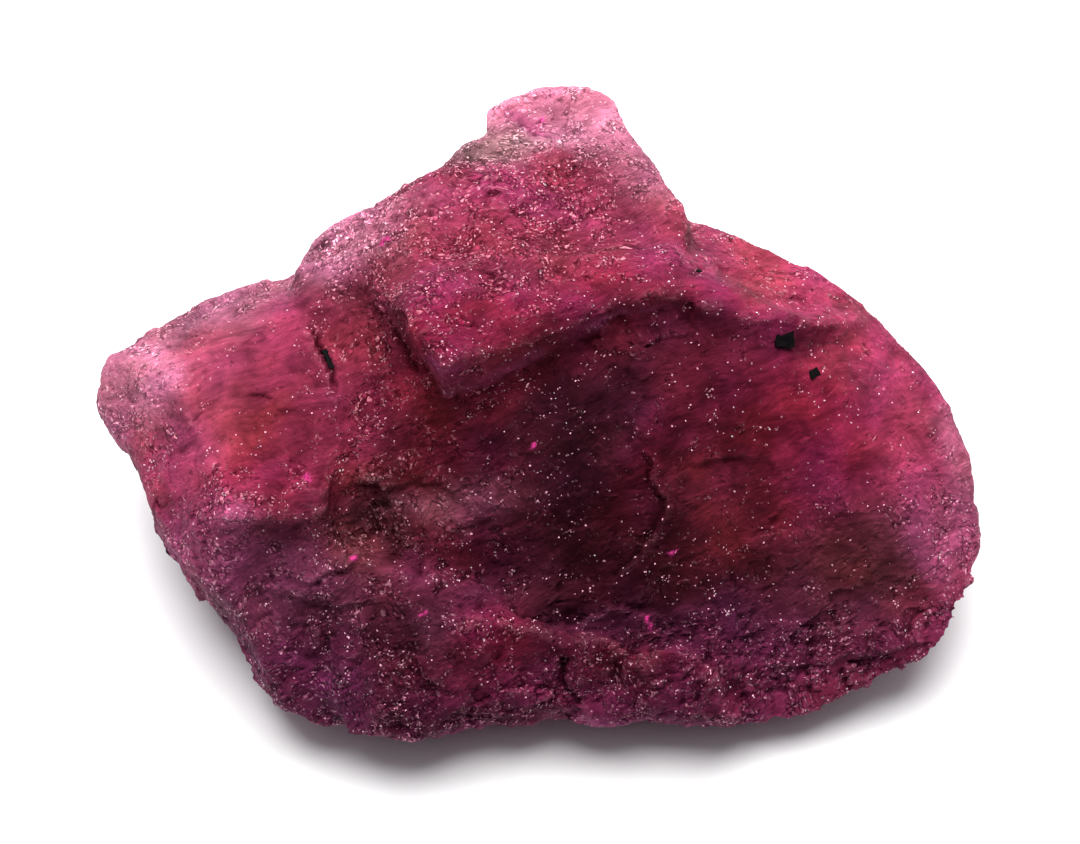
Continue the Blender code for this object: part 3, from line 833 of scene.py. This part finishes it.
def direction(azimuth, elevation):
    """A unit vector that points this way from the stone. Azimuth 0 is +X and 90 is +Y."""
    azimuth, elevation = math.radians(azimuth), math.radians(elevation)
    flat = math.cos(elevation)
    return Vector((flat * math.cos(azimuth), flat * math.sin(azimuth), math.sin(elevation)))


def lay_paper():
    """A wide sheet of pale paper under the stone."""
    bm = bmesh.new()
    bmesh.ops.create_grid(bm, x_segments=8, y_segments=8, size=3.0)
    mesh = bpy.data.meshes.new("paper")
    bm.to_mesh(mesh)
    bm.free()
    paper = link(bpy.data.objects.new("paper", mesh))
    paper.data.materials.append(pale_paper())


def light_stone():
    """A broad light from behind, and a room that is bright behind and dim in front."""
    lamp = bpy.data.lights.new("soft_window", "SUN")
    lamp.energy = SUN_STRENGTH
    lamp.angle = math.radians(SUN_ANGLE)
    lamp.color = (1.0, 0.985, 0.97)
    window = link(bpy.data.objects.new("soft_window", lamp))
    towards = direction(SUN_AZIMUTH, SUN_ELEVATION)
    window.location = towards
    window.rotation_euler = towards.to_track_quat("Z", "Y").to_euler()

    room = bpy.data.worlds.new("pale_room")
    room.use_nodes = True
    tree = room.node_tree
    tree.nodes.clear()
    way = add(tree, "ShaderNodeTexCoord").outputs["Generated"]
    behind = add(tree, "ShaderNodeVectorMath", {"operation": "DOT_PRODUCT"},
                 {0: way, 1: direction(SUN_AZIMUTH, ROOM_TILT)}).outputs["Value"]
    glow = add(tree, "ShaderNodeMapRange", None,
               {"Value": behind, "From Min": -0.15, "From Max": 0.95,
                "To Min": ROOM_FRONT, "To Max": ROOM_BACK})
    lighting = add(tree, "ShaderNodeBackground", None,
                   {"Color": (0.94, 0.96, 1.0, 1.0), "Strength": glow})
    backdrop = add(tree, "ShaderNodeBackground", None,
                   {"Color": (1.0, 1.0, 1.0, 1.0), "Strength": 1.0})
    seen = add(tree, "ShaderNodeLightPath").outputs["Is Camera Ray"]
    mixed = add(tree, "ShaderNodeMixShader", None, {0: seen, 1: lighting, 2: backdrop})
    add(tree, "ShaderNodeOutputWorld", None, {"Surface": mixed})
    bpy.context.scene.world = room
    bpy.context.scene.view_settings.view_transform = "Standard"


def place_camera():
    """A long lens, looking down at the stone's front slope."""
    lens = bpy.data.cameras.new("camera")
    lens.lens = LENS_MM
    lens.sensor_width = SENSOR_MM
    lens.clip_start = 0.01
    camera = link(bpy.data.objects.new("camera", lens))
    back = direction(-90.0, CAMERA_ELEVATION)
    camera.location = (Vector(CAMERA_TARGET) + CAMERA_DISTANCE * back) * MM
    camera.rotation_euler = back.to_track_quat("Z", "Y").to_euler()
    bpy.context.scene.camera = camera


def main():
    noise.seed_set(CHIP_SEED)
    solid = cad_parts["ruby_crystal"]
    stone = skin_over(solid)
    colour, grain = melted_zones(stone.data)
    opened = break_skin(stone, grain)
    keep_masks(stone, colour, grain, opened)
    stone.data.materials.clear()
    stone.data.materials.append(unpolished_ruby())
    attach(stone, "root")
    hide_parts("ruby_crystal")

    places, _ = points_of(stone.data)
    faces = [tuple(face.vertices) for face in stone.data.polygons]
    surface = BVHTree.FromPolygons(places.tolist(), faces)
    mineral = dark_mineral()
    for name, (centre, length, width, depth, turn) in DARK_GRAINS.items():
        inset = dark_grain(name, surface, centre, length, width, depth, turn, mineral)
        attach(inset, "root")

    lay_paper()
    light_stone()
    place_camera()


main()
